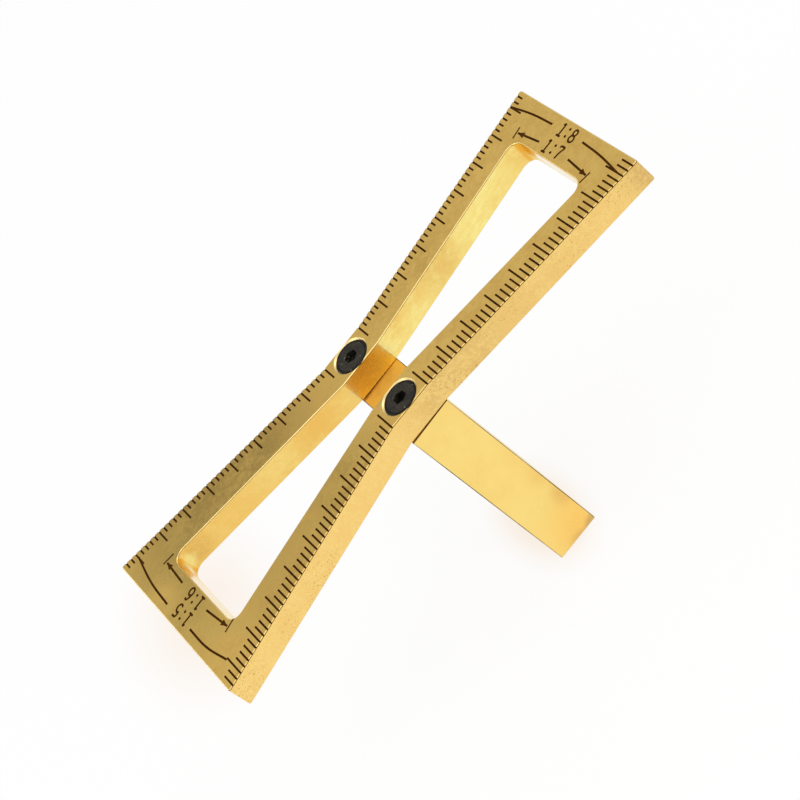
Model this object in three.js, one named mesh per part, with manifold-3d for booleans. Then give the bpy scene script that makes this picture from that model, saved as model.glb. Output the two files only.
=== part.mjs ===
// A brass dovetail marker: a bow-tie plate with a window through it, a fence block square to the plate
// under its waist, and two countersunk socket screws that hold the plate on the block.
// Millimetres. +Z is up, out of the engraved face. +X is toward the shallow slopes.
// The origin is the centre of the fence block's foot.
import * as THREE from "three";
import { mergeGeometries, mergeVertices } from "three/addons/utils/BufferGeometryUtils.js";
import Module from "manifold-3d";

const wasm = await Module();
wasm.setup();

// Fence block
const FENCE_THICKNESS = 8;
const FENCE_HEIGHT = 37.2;
const FENCE_EDGE_CHAMFER = 0.1; // round its foot and round its top

// Plate
const PLATE_THICKNESS = 4.7;
const WAIST_WIDTH = 21.4;
const REACH = 43; // from a face of the fence to that end of the plate
const OUTER_CORNER_RADIUS = 0.4;
const OUTER_EDGE_CHAMFER = 0.25; // round the engraved face
const UNDERSIDE_CHAMFER = 0.1;

// Window through the plate
const WINDOW_WAIST_WIDTH = 9;
const END_BAR_WIDTH = 6.8;
const WINDOW_CORNER_RADIUS = 2;
const WINDOW_EDGE_CHAMFER = 0.1;

// Slopes, each as the share of the way along that an edge moves outward
const SHALLOW_OUTER_SLOPE_SHARE = 1 / 8;
const SHALLOW_WINDOW_SLOPE_SHARE = 1 / 7;
const STEEP_OUTER_SLOPE_SHARE = 1 / 5;
const STEEP_WINDOW_SLOPE_SHARE = 1 / 6;

// Engraved millimetre marks, counted from the faces of the fence
const MARK_PITCH = 1;
const MARK_WIDTH = 0.25;
const MARK_DEPTH = 0.3;
const SHORT_MARK_LENGTH = 2.2;
const LONG_MARK_LENGTH = 3.9;
const LONG_MARK_STEPS = 5;
const MARK_END_MARGIN = 0.6; // least plain metal past the last mark
const ENGRAVING_SHIFT = 0.5; // the engraving lies this far toward +Y, so marks on that rail are shorter

// Countersunk socket screws, metric size 3
const SCREW_DIAMETER = 3;
const SCREW_LENGTH = 12;
const SCREW_TIP_CHAMFER = 0.4;
const HEAD_DIAMETER = 5.8;
const HEAD_LAND = 0.1;
const SOCKET_ACROSS_FLATS = 2;
const SOCKET_DEPTH = 1.2;

// How the screws sit in the plate and the block
const HEAD_RECESS = 0.1;
const SEAT_CLEARANCE = 0.05; // between the two cones, square to them
const PLATE_HOLE_CLEARANCE = 0.2;
const THREAD_CLEARANCE = 0.08;
const HOLE_RUN_OUT = 2; // hole left below the screw's tip
const HOLE_MOUTH_CHAMFER = 0.3;
const DRILL_POINT_SHARE = 0.6; // height of a drilled hole's pointed end, as a share of its radius

// Making
const CUT_OVERRUN = 1;
const WINDOW_CORNER_STEPS = 4;
const OUTER_CORNER_STEPS = 2;
const ROUND_SIDES = 32;
const SOCKET_SIDES = 6;

// Worked out from the sizes above
const fenceFace = FENCE_THICKNESS / 2;
const plateEnd = fenceFace + REACH;
const windowEnd = plateEnd - END_BAR_WIDTH;
const railCentre = (WAIST_WIDTH + WINDOW_WAIST_WIDTH) / 4;
const screwRadius = SCREW_DIAMETER / 2;
const headRadius = HEAD_DIAMETER / 2;
const coneHeight = headRadius - screwRadius; // the cone is a right angle across, so it falls as it narrows

// Turns a closed geometry into a solid that can be cut and joined.
function solidOf(geometry) {
  geometry.deleteAttribute("normal");
  geometry.deleteAttribute("uv");
  const merged = mergeVertices(geometry);
  return new wasm.Manifold(
    new wasm.Mesh({
      numProp: 3,
      vertProperties: merged.attributes.position.array,
      triVerts: new Uint32Array(merged.index.array),
    }),
  );
}

// Turns a solid back into a geometry with flat faces.
function geometryOf(solid) {
  const { vertProperties, triVerts } = solid.getMesh();
  const shared = new THREE.BufferGeometry();
  shared.setAttribute("position", new THREE.BufferAttribute(vertProperties, 3));
  shared.setIndex(new THREE.BufferAttribute(triVerts, 1));
  const flat = shared.toNonIndexed();
  flat.computeVertexNormals();
  return flat;
}

// A closed shape from corners in anticlockwise order, each rounded by its own radius where it has one.
function roundedShape(corners) {
  const shape = new THREE.Shape();
  corners.forEach(({ x, y, radius = 0 }, i) => {
    const corner = new THREE.Vector2(x, y);
    if (radius === 0) {
      if (i === 0) shape.moveTo(x, y);
      else shape.lineTo(x, y);
      return;
    }
    const before = corners[(i + corners.length - 1) % corners.length];
    const after = corners[(i + 1) % corners.length];
    const back = new THREE.Vector2(before.x, before.y).sub(corner).normalize();
    const ahead = new THREE.Vector2(after.x, after.y).sub(corner).normalize();
    const halfAngle = Math.acos(back.dot(ahead)) / 2;
    const centre = back
      .clone()
      .add(ahead)
      .normalize()
      .multiplyScalar(radius / Math.sin(halfAngle))
      .add(corner);
    const start = back.multiplyScalar(radius / Math.tan(halfAngle)).add(corner).sub(centre).angle();
    const end = ahead.multiplyScalar(radius / Math.tan(halfAngle)).add(corner).sub(centre).angle();
    shape.absarc(centre.x, centre.y, radius, start, end, false);
  });
  shape.closePath();
  return shape;
}

// A bow tie: straight past the fence, then wider toward each end by its own slope.
function bowTieShape(waistWidth, endX, shallowShare, steepShare, radius) {
  const waistY = waistWidth / 2;
  const shallowY = waistY + (endX - fenceFace) * shallowShare;
  const steepY = waistY + (endX - fenceFace) * steepShare;
  return roundedShape([
    { x: -fenceFace, y: -waistY },
    { x: fenceFace, y: -waistY },
    { x: endX, y: -shallowY, radius },
    { x: endX, y: shallowY, radius },
    { x: fenceFace, y: waistY },
    { x: -fenceFace, y: waistY },
    { x: -endX, y: steepY, radius },
    { x: -endX, y: -steepY, radius },
  ]);
}

// An extrusion from z = 0 whose two rims are chamfered inside its own outline.
function chamferedExtrusion(shape, height, chamfer) {
  return new THREE.ExtrudeGeometry(shape, {
    depth: height - 2 * chamfer,
    curveSegments: OUTER_CORNER_STEPS,
    bevelThickness: chamfer,
    bevelSize: chamfer,
    bevelOffset: -chamfer,
    bevelSegments: 1,
  }).translate(0, 0, chamfer);
}

// A solid of revolution about Z from [radius, z] pairs, listed upward from the axis and back to it.
function revolved(profile) {
  const points = profile.map(([radius, z]) => new THREE.Vector2(radius, z));
  return new THREE.LatheGeometry(points, ROUND_SIDES).rotateX(Math.PI / 2);
}

// What is faced off under the plate, which leaves a smaller chamfer there than above.
function facingCutter(depth) {
  const length = 2 * (plateEnd + CUT_OVERRUN);
  return solidOf(new THREE.BoxGeometry(length, length, depth + CUT_OVERRUN)).translate(
    0,
    0,
    -(depth + CUT_OVERRUN) / 2,
  );
}

// The window as a cutter: a straight hole, and a flare at each face that chamfers its rim.
function windowCutter() {
  const shape = bowTieShape(
    WINDOW_WAIST_WIDTH,
    windowEnd,
    SHALLOW_WINDOW_SLOPE_SHARE,
    STEEP_WINDOW_SLOPE_SHARE,
    WINDOW_CORNER_RADIUS,
  );
  const hole = new THREE.ExtrudeGeometry(shape, {
    depth: PLATE_THICKNESS + 2 * CUT_OVERRUN,
    curveSegments: WINDOW_CORNER_STEPS,
    bevelEnabled: false,
  }).translate(0, 0, -CUT_OVERRUN);
  const flare = new THREE.ExtrudeGeometry(shape, {
    depth: CUT_OVERRUN,
    curveSegments: WINDOW_CORNER_STEPS,
    bevelThickness: WINDOW_EDGE_CHAMFER,
    bevelSize: WINDOW_EDGE_CHAMFER,
    bevelSegments: 1,
  });
  const topFlare = flare.clone().translate(0, 0, PLATE_THICKNESS);
  const bottomFlare = flare.translate(0, 0, -CUT_OVERRUN);
  return solidOf(hole).add(solidOf(topFlare)).add(solidOf(bottomFlare));
}

// One V groove across the edge of a rail, from its inner end out past the edge.
function markGroove(x, innerY, outerY) {
  const half = (MARK_WIDTH / 2) * (1 + CUT_OVERRUN / MARK_DEPTH);
  const section = new THREE.Shape();
  section.moveTo(0, MARK_DEPTH);
  section.lineTo(-half, -CUT_OVERRUN);
  section.lineTo(half, -CUT_OVERRUN);
  section.closePath();
  return new THREE.ExtrudeGeometry(section, {
    depth: Math.abs(outerY - innerY),
    bevelEnabled: false,
  })
    .rotateX(-Math.PI / 2)
    .translate(x, Math.min(innerY, outerY), PLATE_THICKNESS);
}

// The engraved scale: a mark every step along all four outer edges, with every fifth one long.
function scaleCutter() {
  const count = Math.floor((REACH - MARK_END_MARGIN) / MARK_PITCH);
  const grooves = [];
  for (const [end, share] of [[1, SHALLOW_OUTER_SLOPE_SHARE], [-1, STEEP_OUTER_SLOPE_SHARE]]) {
    for (const side of [-1, 1]) {
      for (let step = 0; step <= count; step += 1) {
        const along = step * MARK_PITCH;
        const edgeY = WAIST_WIDTH / 2 + along * share;
        const length = step % LONG_MARK_STEPS === 0 ? LONG_MARK_LENGTH : SHORT_MARK_LENGTH;
        const innerY = side * (edgeY - length) + ENGRAVING_SHIFT;
        grooves.push(markGroove(end * (fenceFace + along), innerY, side * (edgeY + CUT_OVERRUN)));
      }
    }
  }
  return solidOf(mergeGeometries(grooves));
}

// The countersunk hole for one screw, from above the plate to below it.
function countersinkCutter(y) {
  const holeRadius = screwRadius + PLATE_HOLE_CLEARANCE;
  const coneBottom = HEAD_RECESS + HEAD_LAND + coneHeight;
  const bottomRadius = screwRadius + SEAT_CLEARANCE * Math.SQRT2; // the seat's cone at the head's narrow end
  const coneTop = bottomRadius + coneBottom + CUT_OVERRUN;
  const holeTop = PLATE_THICKNESS - coneBottom + (holeRadius - bottomRadius);
  return solidOf(
    revolved([
      [0, -CUT_OVERRUN],
      [holeRadius, -CUT_OVERRUN],
      [holeRadius, holeTop],
      [coneTop, PLATE_THICKNESS + CUT_OVERRUN],
      [0, PLATE_THICKNESS + CUT_OVERRUN],
    ]).translate(0, y, 0),
  );
}

// The blind tapped hole for one screw in the top end of the fence block.
function tappedHoleCutter(y) {
  const radius = screwRadius + THREAD_CLEARANCE;
  const tip = FENCE_HEIGHT + PLATE_THICKNESS - HEAD_RECESS - SCREW_LENGTH;
  const floor = tip - HOLE_RUN_OUT;
  const mouth = radius + HOLE_MOUTH_CHAMFER;
  return solidOf(
    revolved([
      [0, floor - radius * DRILL_POINT_SHARE],
      [radius, floor],
      [radius, FENCE_HEIGHT - HOLE_MOUTH_CHAMFER],
      [mouth + CUT_OVERRUN, FENCE_HEIGHT + CUT_OVERRUN],
      [0, FENCE_HEIGHT + CUT_OVERRUN],
    ]).translate(0, y, 0),
  );
}

// Brass as it comes from the mill, lightly dulled.
function brass() {
  return new THREE.MeshStandardMaterial({ color: 0xc9a55c, roughness: 0.42, metalness: 1 });
}

// Steel with a black oxide finish.
function blackOxide() {
  return new THREE.MeshStandardMaterial({ color: 0x343432, roughness: 0.6, metalness: 0.7 });
}

// The plate, from its underside at z = 0.
function makeBowTieFrame() {
  const outline = bowTieShape(
    WAIST_WIDTH,
    plateEnd,
    SHALLOW_OUTER_SLOPE_SHARE,
    STEEP_OUTER_SLOPE_SHARE,
    OUTER_CORNER_RADIUS,
  );
  const facing = OUTER_EDGE_CHAMFER - UNDERSIDE_CHAMFER;
  const blank = chamferedExtrusion(outline, PLATE_THICKNESS + facing, OUTER_EDGE_CHAMFER);
  blank.translate(0, 0, -facing);
  const solid = solidOf(blank)
    .subtract(facingCutter(facing))
    .subtract(windowCutter())
    .subtract(countersinkCutter(-railCentre))
    .subtract(countersinkCutter(railCentre))
    .subtract(scaleCutter());
  const frame = new THREE.Mesh(geometryOf(solid), brass());
  frame.name = "bow_tie_frame";
  return frame;
}

// The fence block, from its foot at z = 0, as wide as the waist of the plate.
function makeFenceBlock() {
  const x = fenceFace;
  const y = WAIST_WIDTH / 2;
  const section = roundedShape([{ x: -x, y: -y }, { x, y: -y }, { x, y }, { x: -x, y }]);
  const solid = solidOf(chamferedExtrusion(section, FENCE_HEIGHT, FENCE_EDGE_CHAMFER))
    .subtract(tappedHoleCutter(-railCentre))
    .subtract(tappedHoleCutter(railCentre));
  const fence = new THREE.Mesh(geometryOf(solid), brass());
  fence.name = "fence_block";
  return fence;
}

// One countersunk screw, with the top of its head at z = 0.
function makeScrew(name) {
  const body = revolved([
    [0, -SCREW_LENGTH],
    [screwRadius - SCREW_TIP_CHAMFER, -SCREW_LENGTH],
    [screwRadius, SCREW_TIP_CHAMFER - SCREW_LENGTH],
    [screwRadius, -HEAD_LAND - coneHeight],
    [headRadius, -HEAD_LAND],
    [headRadius, 0],
    [0, 0],
  ]);
  const socketRadius = SOCKET_ACROSS_FLATS / 2 / Math.cos(Math.PI / SOCKET_SIDES);
  const socketHeight = SOCKET_DEPTH + CUT_OVERRUN;
  const socket = new THREE.CylinderGeometry(socketRadius, socketRadius, socketHeight, SOCKET_SIDES)
    .rotateX(Math.PI / 2)
    .translate(0, 0, socketHeight / 2 - SOCKET_DEPTH);
  const screw = new THREE.Mesh(geometryOf(solidOf(body).subtract(solidOf(socket))), blackOxide());
  screw.name = name;
  return screw;
}

const marker = new THREE.Group();
marker.add(makeFenceBlock());

const plate = new THREE.Group();
plate.position.z = FENCE_HEIGHT;
plate.add(makeBowTieFrame());
marker.add(plate);

for (const [name, side] of [["near_screw", -1], ["far_screw", 1]]) {
  const screw = makeScrew(name);
  screw.position.set(0, side * railCentre, PLATE_THICKNESS - HEAD_RECESS);
  plate.add(screw);
}

export default marker;
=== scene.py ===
import logging
import math
from dataclasses import dataclass, field
from enum import Enum, IntEnum
from typing import ClassVar

import bmesh
import bpy
from bmesh.types import BMEdge, BMesh, BMFace, BMVert
from bpy.types import Material, Mesh, Node, NodeSocket, NodeTree, Object
from mathutils import Matrix, Quaternion, Vector


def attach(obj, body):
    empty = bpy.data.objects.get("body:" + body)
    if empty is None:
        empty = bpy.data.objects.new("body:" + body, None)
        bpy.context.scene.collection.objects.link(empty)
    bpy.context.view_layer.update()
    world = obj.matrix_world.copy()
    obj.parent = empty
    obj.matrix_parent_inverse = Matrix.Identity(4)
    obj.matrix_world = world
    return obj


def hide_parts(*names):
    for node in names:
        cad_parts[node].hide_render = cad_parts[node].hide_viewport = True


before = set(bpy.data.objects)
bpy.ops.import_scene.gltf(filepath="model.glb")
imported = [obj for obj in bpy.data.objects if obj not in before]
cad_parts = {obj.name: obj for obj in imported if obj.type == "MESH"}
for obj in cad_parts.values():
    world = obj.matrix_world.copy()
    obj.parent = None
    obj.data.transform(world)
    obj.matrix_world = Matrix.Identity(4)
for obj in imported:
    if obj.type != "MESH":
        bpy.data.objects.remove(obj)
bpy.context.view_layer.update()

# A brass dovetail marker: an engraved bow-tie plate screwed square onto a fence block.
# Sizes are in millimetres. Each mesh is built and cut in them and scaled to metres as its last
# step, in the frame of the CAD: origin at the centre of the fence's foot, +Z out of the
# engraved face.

MM = 0.001
MERGE_DISTANCE = 1e-4
FULL_TURN = 2 * math.pi

log = logging.getLogger("dovetail_marker")

Pair = tuple[float, float]
Stroke = tuple[Pair, ...]
Triple = tuple[float, float, float]
Colour = tuple[float, float, float, float]


class Slot(Enum):
    """Material slots of the record."""

    BRASS = "brass"
    BLACK_OXIDE = "black_oxide"


class Body(Enum):
    """Bodies that pieces ride on."""

    MARKER = "marker_body"
    NEAR_SCREW = "near_screw_body"
    FAR_SCREW = "far_screw_body"


class End(Enum):
    """The two ends of the bow tie, by the sign of X."""

    SHALLOW = 1
    STEEP = -1


class Combining(Enum):
    """Ways to work one solid with another."""

    CUT = "DIFFERENCE"
    JOIN = "UNION"


class LineAxis(Enum):
    """Axes that tool lines are turned about."""

    X = "X_AXIS"
    Z = "Z_AXIS"


class Graph:
    """Adds nodes to a node tree and links them in one call."""

    # the places of a Mix node's inputs and output for each type of data
    MIX_SOCKETS: ClassVar[dict[str, tuple]] = {
        "RGBA": ((0, 6, 7), 2),
        "FLOAT": ((0, 2, 3), 0),
    }

    def __init__(self, tree: NodeTree) -> None:
        """Keeps the tree that nodes go into."""
        self.tree = tree

    def add(self, kind: str, settings: dict | None = None, **inputs: object) -> Node:
        """Adds one node.

        Args:
            kind: The node's type name without its ShaderNode prefix.
            settings: Properties of the node itself.
            inputs: Values or output sockets for its inputs, named with _ for a space.

        Returns:
            The new node.
        """
        node = self.tree.nodes.new("ShaderNode" + kind)
        for name, value in (settings or {}).items():
            setattr(node, name, value)
        for name, value in inputs.items():
            self.plug(node, name.replace("_", " "), value)
        return node

    def fill(self, kind: str, settings: dict, *values: object) -> Node:
        """Adds one node and fills its first inputs in order.

        Args:
            kind: The node's type name without its ShaderNode prefix.
            settings: Properties of the node itself.
            values: Values or output sockets.

        Returns:
            The new node.
        """
        node = self.add(kind, settings)
        for index, value in enumerate(values):
            self.plug(node, index, value)
        return node

    def plug(self, node: Node, name: str | int, value: object) -> None:
        """Links a socket to an input, or sets the input's own value.

        Args:
            node: The node.
            name: The input's name or place.
            value: A value or output socket.
        """
        if isinstance(value, NodeSocket):
            self.tree.links.new(value, node.inputs[name])
        else:
            node.inputs[name].default_value = value

    def math(self, operation: str, first: object, second: object) -> NodeSocket:
        """Returns the result of a Math node on two values or sockets."""
        return self.fill("Math", {"operation": operation}, first, second).outputs[0]

    def times(self, first: object, second: object) -> NodeSocket:
        """Returns the product of two values or sockets."""
        return self.math("MULTIPLY", first, second)

    def vector(self, operation: str, *values: object) -> Node:
        """Returns a Vector Math node on vectors."""
        return self.fill("VectorMath", {"operation": operation}, *values)

    def mix(
        self, factor: object, first: object, second: object, kind: str = "RGBA"
    ) -> NodeSocket:
        """Mixes two colours or two numbers.

        Args:
            factor: The share of the second.
            first: A value or output socket.
            second: A value or output socket.
            kind: RGBA for colours, FLOAT for numbers.

        Returns:
            The socket of the mix.
        """
        places, output = self.MIX_SOCKETS[kind]
        node = self.add("Mix", {"data_type": kind})
        for index, value in zip(places, (factor, first, second)):
            self.plug(node, index, value)
        return node.outputs[output]

    def span(
        self, value: object, low: object, high: object, to_low: float = 0, to_high: float = 1
    ) -> NodeSocket:
        """Returns a value clamped to low..high and spread smoothly over to_low..to_high."""
        smooth = {"interpolation_type": "SMOOTHSTEP"}
        return self.fill("MapRange", smooth, value, low, high, to_low, to_high).outputs[0]

    def noise(
        self, vector: object, scale: object, detail: float, roughness: float = 0.5
    ) -> NodeSocket:
        """Returns the value of a Noise Texture read at a vector."""
        look = {"Scale": scale, "Detail": detail, "Roughness": roughness}
        return self.add("TexNoise", None, Vector=vector, **look).outputs["Fac"]

    def group(self, tree: NodeTree, *values: object) -> list[NodeSocket]:
        """Adds a node group, fills its inputs in order and returns its outputs."""
        return list(self.fill("Group", {"node_tree": tree}, *values).outputs)


class EffectGroup(Graph):
    """The graph of a new node group that takes a vector and numbers and gives masks."""

    def __init__(self, name: str, inputs: dict[str, float], outputs: tuple[str, ...]) -> None:
        """Starts the group.

        Args:
            name: The group's name.
            inputs: Its numbers with their defaults.
            outputs: Its masks.
        """
        tree = bpy.data.node_groups.new(name, "ShaderNodeTree")
        super().__init__(tree)
        tree.interface.new_socket(name="Vector", in_out="INPUT", socket_type="NodeSocketVector")
        for label, value in inputs.items():
            number = tree.interface.new_socket(
                name=label, in_out="INPUT", socket_type="NodeSocketFloat"
            )
            number.default_value = value
        for label in outputs:
            tree.interface.new_socket(name=label, in_out="OUTPUT", socket_type="NodeSocketFloat")
        self.given = tree.nodes.new("NodeGroupInput").outputs
        self.result = tree.nodes.new("NodeGroupOutput")


class SharedEffects:
    """Surface effects that more than one finish uses, each a node group built once."""

    FINE_RATIO = 6.0
    CLOUD_SPAN = (0.34, 0.66)
    PIT_EDGE = 0.05
    PATCH_SPAN = (0.38, 0.64)
    LINE_SPAN = (0.3, 0.7)
    SCRATCH_SPAN = (0.66, 0.72)
    SCRATCH_PATCHES = 170.0
    SCRATCHED_SPAN = (0.52, 0.62)

    def __init__(self) -> None:
        """Builds the groups."""
        self.mottling = self._mottling()
        self.specks = self._specks()
        self.brushing = self._brushing()

    def _mottling(self) -> NodeTree:
        """Returns a group whose mask drifts between clouds of two sizes."""
        group = EffectGroup("Mottling", {"Scale": 200.0, "Fine share": 0.4}, ("Mask",))
        vector, scale = group.given["Vector"], group.given["Scale"]
        broad = group.noise(vector, scale, detail=3.0, roughness=0.55)
        small = group.times(scale, self.FINE_RATIO)
        fine = group.noise(vector, small, detail=4.0, roughness=0.6)
        mixed = group.mix(group.given["Fine share"], broad, fine, "FLOAT")
        group.plug(group.result, "Mask", group.span(mixed, *self.CLOUD_SPAN))
        return group.tree

    def _specks(self) -> NodeTree:
        """Returns a group of small irregular pits that gather in patches."""
        numbers = {"Scale": 1500.0, "Threshold": 0.66, "Patch scale": 90.0}
        group = EffectGroup("Specks", numbers, ("Mask",))
        vector, threshold = group.given["Vector"], group.given["Threshold"]
        grain = group.noise(vector, group.given["Scale"], detail=2.0)
        patch = group.noise(vector, group.given["Patch scale"], detail=2.0)
        pits = group.span(grain, threshold, group.math("ADD", threshold, self.PIT_EDGE))
        gathered = group.span(patch, *self.PATCH_SPAN)
        group.plug(group.result, "Mask", group.times(pits, gathered))
        return group.tree

    def _brushing(self) -> NodeTree:
        """Returns a group of parallel tool lines, long along Y of its vector, and scratches."""
        numbers = {"Scale": 2500.0, "Stretch": 0.04}
        group = EffectGroup("Brushing", numbers, ("Mask", "Scratches"))
        vector = group.given["Vector"]
        ratio = group.add("CombineXYZ", None, X=1.0, Y=group.given["Stretch"], Z=1.0)
        drawn = group.vector("MULTIPLY", vector, ratio.outputs[0]).outputs[0]
        lines = group.noise(drawn, group.given["Scale"], detail=3.0, roughness=0.6)
        where = group.noise(vector, self.SCRATCH_PATCHES, detail=1.0)
        strong = group.span(lines, *self.SCRATCH_SPAN)
        here = group.span(where, *self.SCRATCHED_SPAN)
        group.plug(group.result, "Mask", group.span(lines, *self.LINE_SPAN))
        group.plug(group.result, "Scratches", group.times(strong, here))
        return group.tree


class Surface:
    """A new material with its graph, its shader and the place on the piece."""

    def __init__(self, name: str) -> None:
        """Starts the material.

        Args:
            name: The material's name.
        """
        self.material = bpy.data.materials.new(name)
        self.material.use_nodes = True
        self.graph = Graph(self.material.node_tree)
        self.shader = self.material.node_tree.nodes["Principled BSDF"]
        self.place = self.graph.add("TexCoord").outputs["Object"]

    def finish(
        self, tone: object, roughness: object, height: object, bump: float, relief: float
    ) -> Material:
        """Plugs the look into the shader.

        Args:
            tone: The base colour.
            roughness: The roughness.
            height: What the bump reads.
            bump: The bump's strength.
            relief: The bump's depth in metres.

        Returns:
            The material.
        """
        bumped = self.graph.add("Bump", None, Height=height, Strength=bump, Distance=relief)
        look = {"Base Color": tone, "Roughness": roughness, "Normal": bumped.outputs[0]}
        for name, value in look.items():
            self.graph.plug(self.shader, name, value)
        return self.material


@dataclass(frozen=True)
class StainOrPaintedLight:
    """A soft patch of another tone, used both for tarnish on the brass and for painted reflections,
    highlights and shade.
    """

    centre: Triple
    reach: float
    share: float
    colour: Colour = (0.47, 0.32, 0.085, 1)
    even: float = 0.35
    core: float = 0.3
    fray: Pair = (0.8, 1.25)

    def spread(self, graph: Graph, place: object, ragged: object, tone: object) -> NodeSocket:
        """Lays the patch over a tone.

        Args:
            graph: The graph of the material.
            place: The socket of the place on the piece.
            ragged: A mask that frays the patch's border.
            tone: The tone under it.

        Returns:
            The new tone.
        """
        centre = tuple(part * MM for part in self.centre)
        distance = graph.vector("DISTANCE", place, centre).outputs["Value"]
        frayed = graph.times(distance, graph.span(ragged, 0.0, 1.0, *self.fray))
        reach = self.reach * MM
        near = graph.span(frayed, self.core * reach, reach, self.share, 0.0)
        patchy = graph.times(near, graph.span(ragged, 0.0, 1.0, self.even, 1.0))
        return graph.mix(patchy, tone, self.colour)


@dataclass(frozen=True)
class BrassFinish:
    """Brass worked in one way: clouds of tone, grain, pits, tool lines and their bump.

    The clouds, specks and lines are the inputs of their node groups, in the groups' order.
    """

    name: str
    bright: Colour = (1.0, 0.72, 0.225, 1)
    dull: Colour = (0.93, 0.64, 0.185, 1)
    pit: Colour = (0.42, 0.24, 0.05, 1)
    scratch: Colour = (1.0, 0.78, 0.32, 1)
    clouds: Pair = (120.0, 0.4)
    grain_scale: float = 5200.0
    grain_span: Pair = (0.3, 0.7)
    grain_share: float = 0.25
    specks: Triple = (2600.0, 0.72, 110.0)
    speck_depth: float = 0.3
    line_axis: LineAxis = LineAxis.Z
    line_turn: float = 0.0
    line_share: float = 0.2
    lines: Pair = (2600.0, 0.05)
    scratch_share: float = 0.0
    rough: Pair = (0.26, 0.36)
    rough_pits: float = 0.25
    line_height: float = 0.35
    cloud_height: float = 0.6
    grain_height: float = 0.3
    bump: float = 0.2
    relief: float = 0.00005
    stains: tuple[StainOrPaintedLight, ...] = ()

    def build(self, effects: SharedEffects) -> Material:
        """Builds the material.

        Args:
            effects: The shared node groups.

        Returns:
            The material.
        """
        surface = Surface(self.name)
        surface.shader.inputs["Metallic"].default_value = 1.0
        graph, place = surface.graph, surface.place
        axis = {"rotation_type": self.line_axis.value}
        turned = graph.add("VectorRotate", axis, Vector=place, Angle=self.line_turn).outputs[0]
        (clouds,) = graph.group(effects.mottling, place, *self.clouds)
        (specks,) = graph.group(effects.specks, place, *self.specks)
        lines, scratches = graph.group(effects.brushing, turned, *self.lines)
        noise = graph.noise(place, self.grain_scale, detail=2.0, roughness=0.6)
        grain = graph.span(noise, *self.grain_span)
        tone = graph.mix(clouds, self.bright, self.dull)
        for mask, share, colour in (
            (grain, self.grain_share, self.dull),
            (lines, self.line_share, self.dull),
            (scratches, self.scratch_share, self.scratch),
        ):
            tone = graph.mix(graph.times(mask, share), tone, colour)
        # patches of tarnish, painted reflection, painted highlight and painted shade laid over the
        # tone
        for stain in self.stains:
            tone = stain.spread(graph, place, clouds, tone)
        tone = graph.mix(graph.times(specks, self.speck_depth), tone, self.pit)
        worn = graph.span(clouds, 0.0, 1.0, *self.rough)
        roughness = graph.math("ADD", worn, graph.times(specks, self.rough_pits))
        height = graph.math("SUBTRACT", graph.times(lines, self.line_height), specks)
        for mask, rise in ((clouds, self.cloud_height), (grain, self.grain_height)):
            height = graph.math("ADD", height, graph.times(mask, rise))
        return surface.finish(tone, roughness, height, self.bump, self.relief)


@dataclass(frozen=True)
class DarkFinish:
    """A dark coat with a paler bloom in clouds, and bright dust specks where it has any.

    The clouds and specks are the inputs of their node groups, in the groups' order.
    """

    name: str
    coat: Colour
    bloom: Colour
    dust: Colour = (0.5, 0.46, 0.36, 1)
    clouds: Pair = (600.0, 0.6)
    dust_specks: Triple = (2300.0, 0.66, 600.0)
    dust_share: float = 0.75
    dust_height: float = 0.5
    rough: Pair = (0.38, 0.58)
    metallic: float = 0.6
    shine: float = 0.5
    bump: float = 0.35
    relief: float = 0.00005

    def build(self, effects: SharedEffects) -> Material:
        """Builds the material.

        Args:
            effects: The shared node groups.

        Returns:
            The material.
        """
        surface = Surface(self.name)
        surface.shader.inputs["Metallic"].default_value = self.metallic
        surface.shader.inputs["Specular IOR Level"].default_value = self.shine
        graph, place = surface.graph, surface.place
        (clouds,) = graph.group(effects.mottling, place, *self.clouds)
        (dusty,) = graph.group(effects.specks, place, *self.dust_specks)
        coat = graph.mix(clouds, self.coat, self.bloom)
        tone = graph.mix(graph.times(dusty, self.dust_share), coat, self.dust)
        roughness = graph.span(clouds, 0.0, 1.0, *self.rough)
        height = graph.math("ADD", clouds, graph.times(dusty, self.dust_height))
        return surface.finish(tone, roughness, height, self.bump, self.relief)


# the orange of the painted reflections on the window walls
PAINTED_REFLECTION_ORANGE = (0.88, 0.51, 0.11, 1)
# the colour of the painted shade on the fence's rounded edges
SHADED = (0.13, 0.10, 0.04, 1)

# Patches of tone by part, in millimetres.
FACE_STAINS = (
    StainOrPaintedLight((-27, 12, 41.9), 28, 0.9, (0.44, 0.295, 0.078, 1), 0.6),
    StainOrPaintedLight((-14, -10, 41.9), 12, 0.6),
    StainOrPaintedLight((-30, -16, 41.9), 14, 0.4),
    StainOrPaintedLight((-44, 4, 41.9), 20, 0.6, (0.54, 0.40, 0.105, 1), 0.3),
    StainOrPaintedLight((-46.2, 6, 41.9), 6, 0.6, (0.95, 0.62, 0.165, 1), 0.5),
    StainOrPaintedLight((14, 11, 41.9), 18, 0.14),
)
# Darker, browner patches on the outer walls.
WALL_DARK_PATCHES = (
    StainOrPaintedLight((47.5, -16.2, 39.5), 6.5, 0.75, (0.62, 0.40, 0.14, 1)),
    StainOrPaintedLight((8, -11.2, 39.5), 15, 0.7, (0.70, 0.46, 0.15, 1)),
    StainOrPaintedLight((23, -13, 39.5), 10, 0.25, (0.70, 0.46, 0.15, 1)),
    StainOrPaintedLight((30, -14, 39.5), 24, 0.35, (0.80, 0.54, 0.18, 1), 0.5),
)
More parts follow.
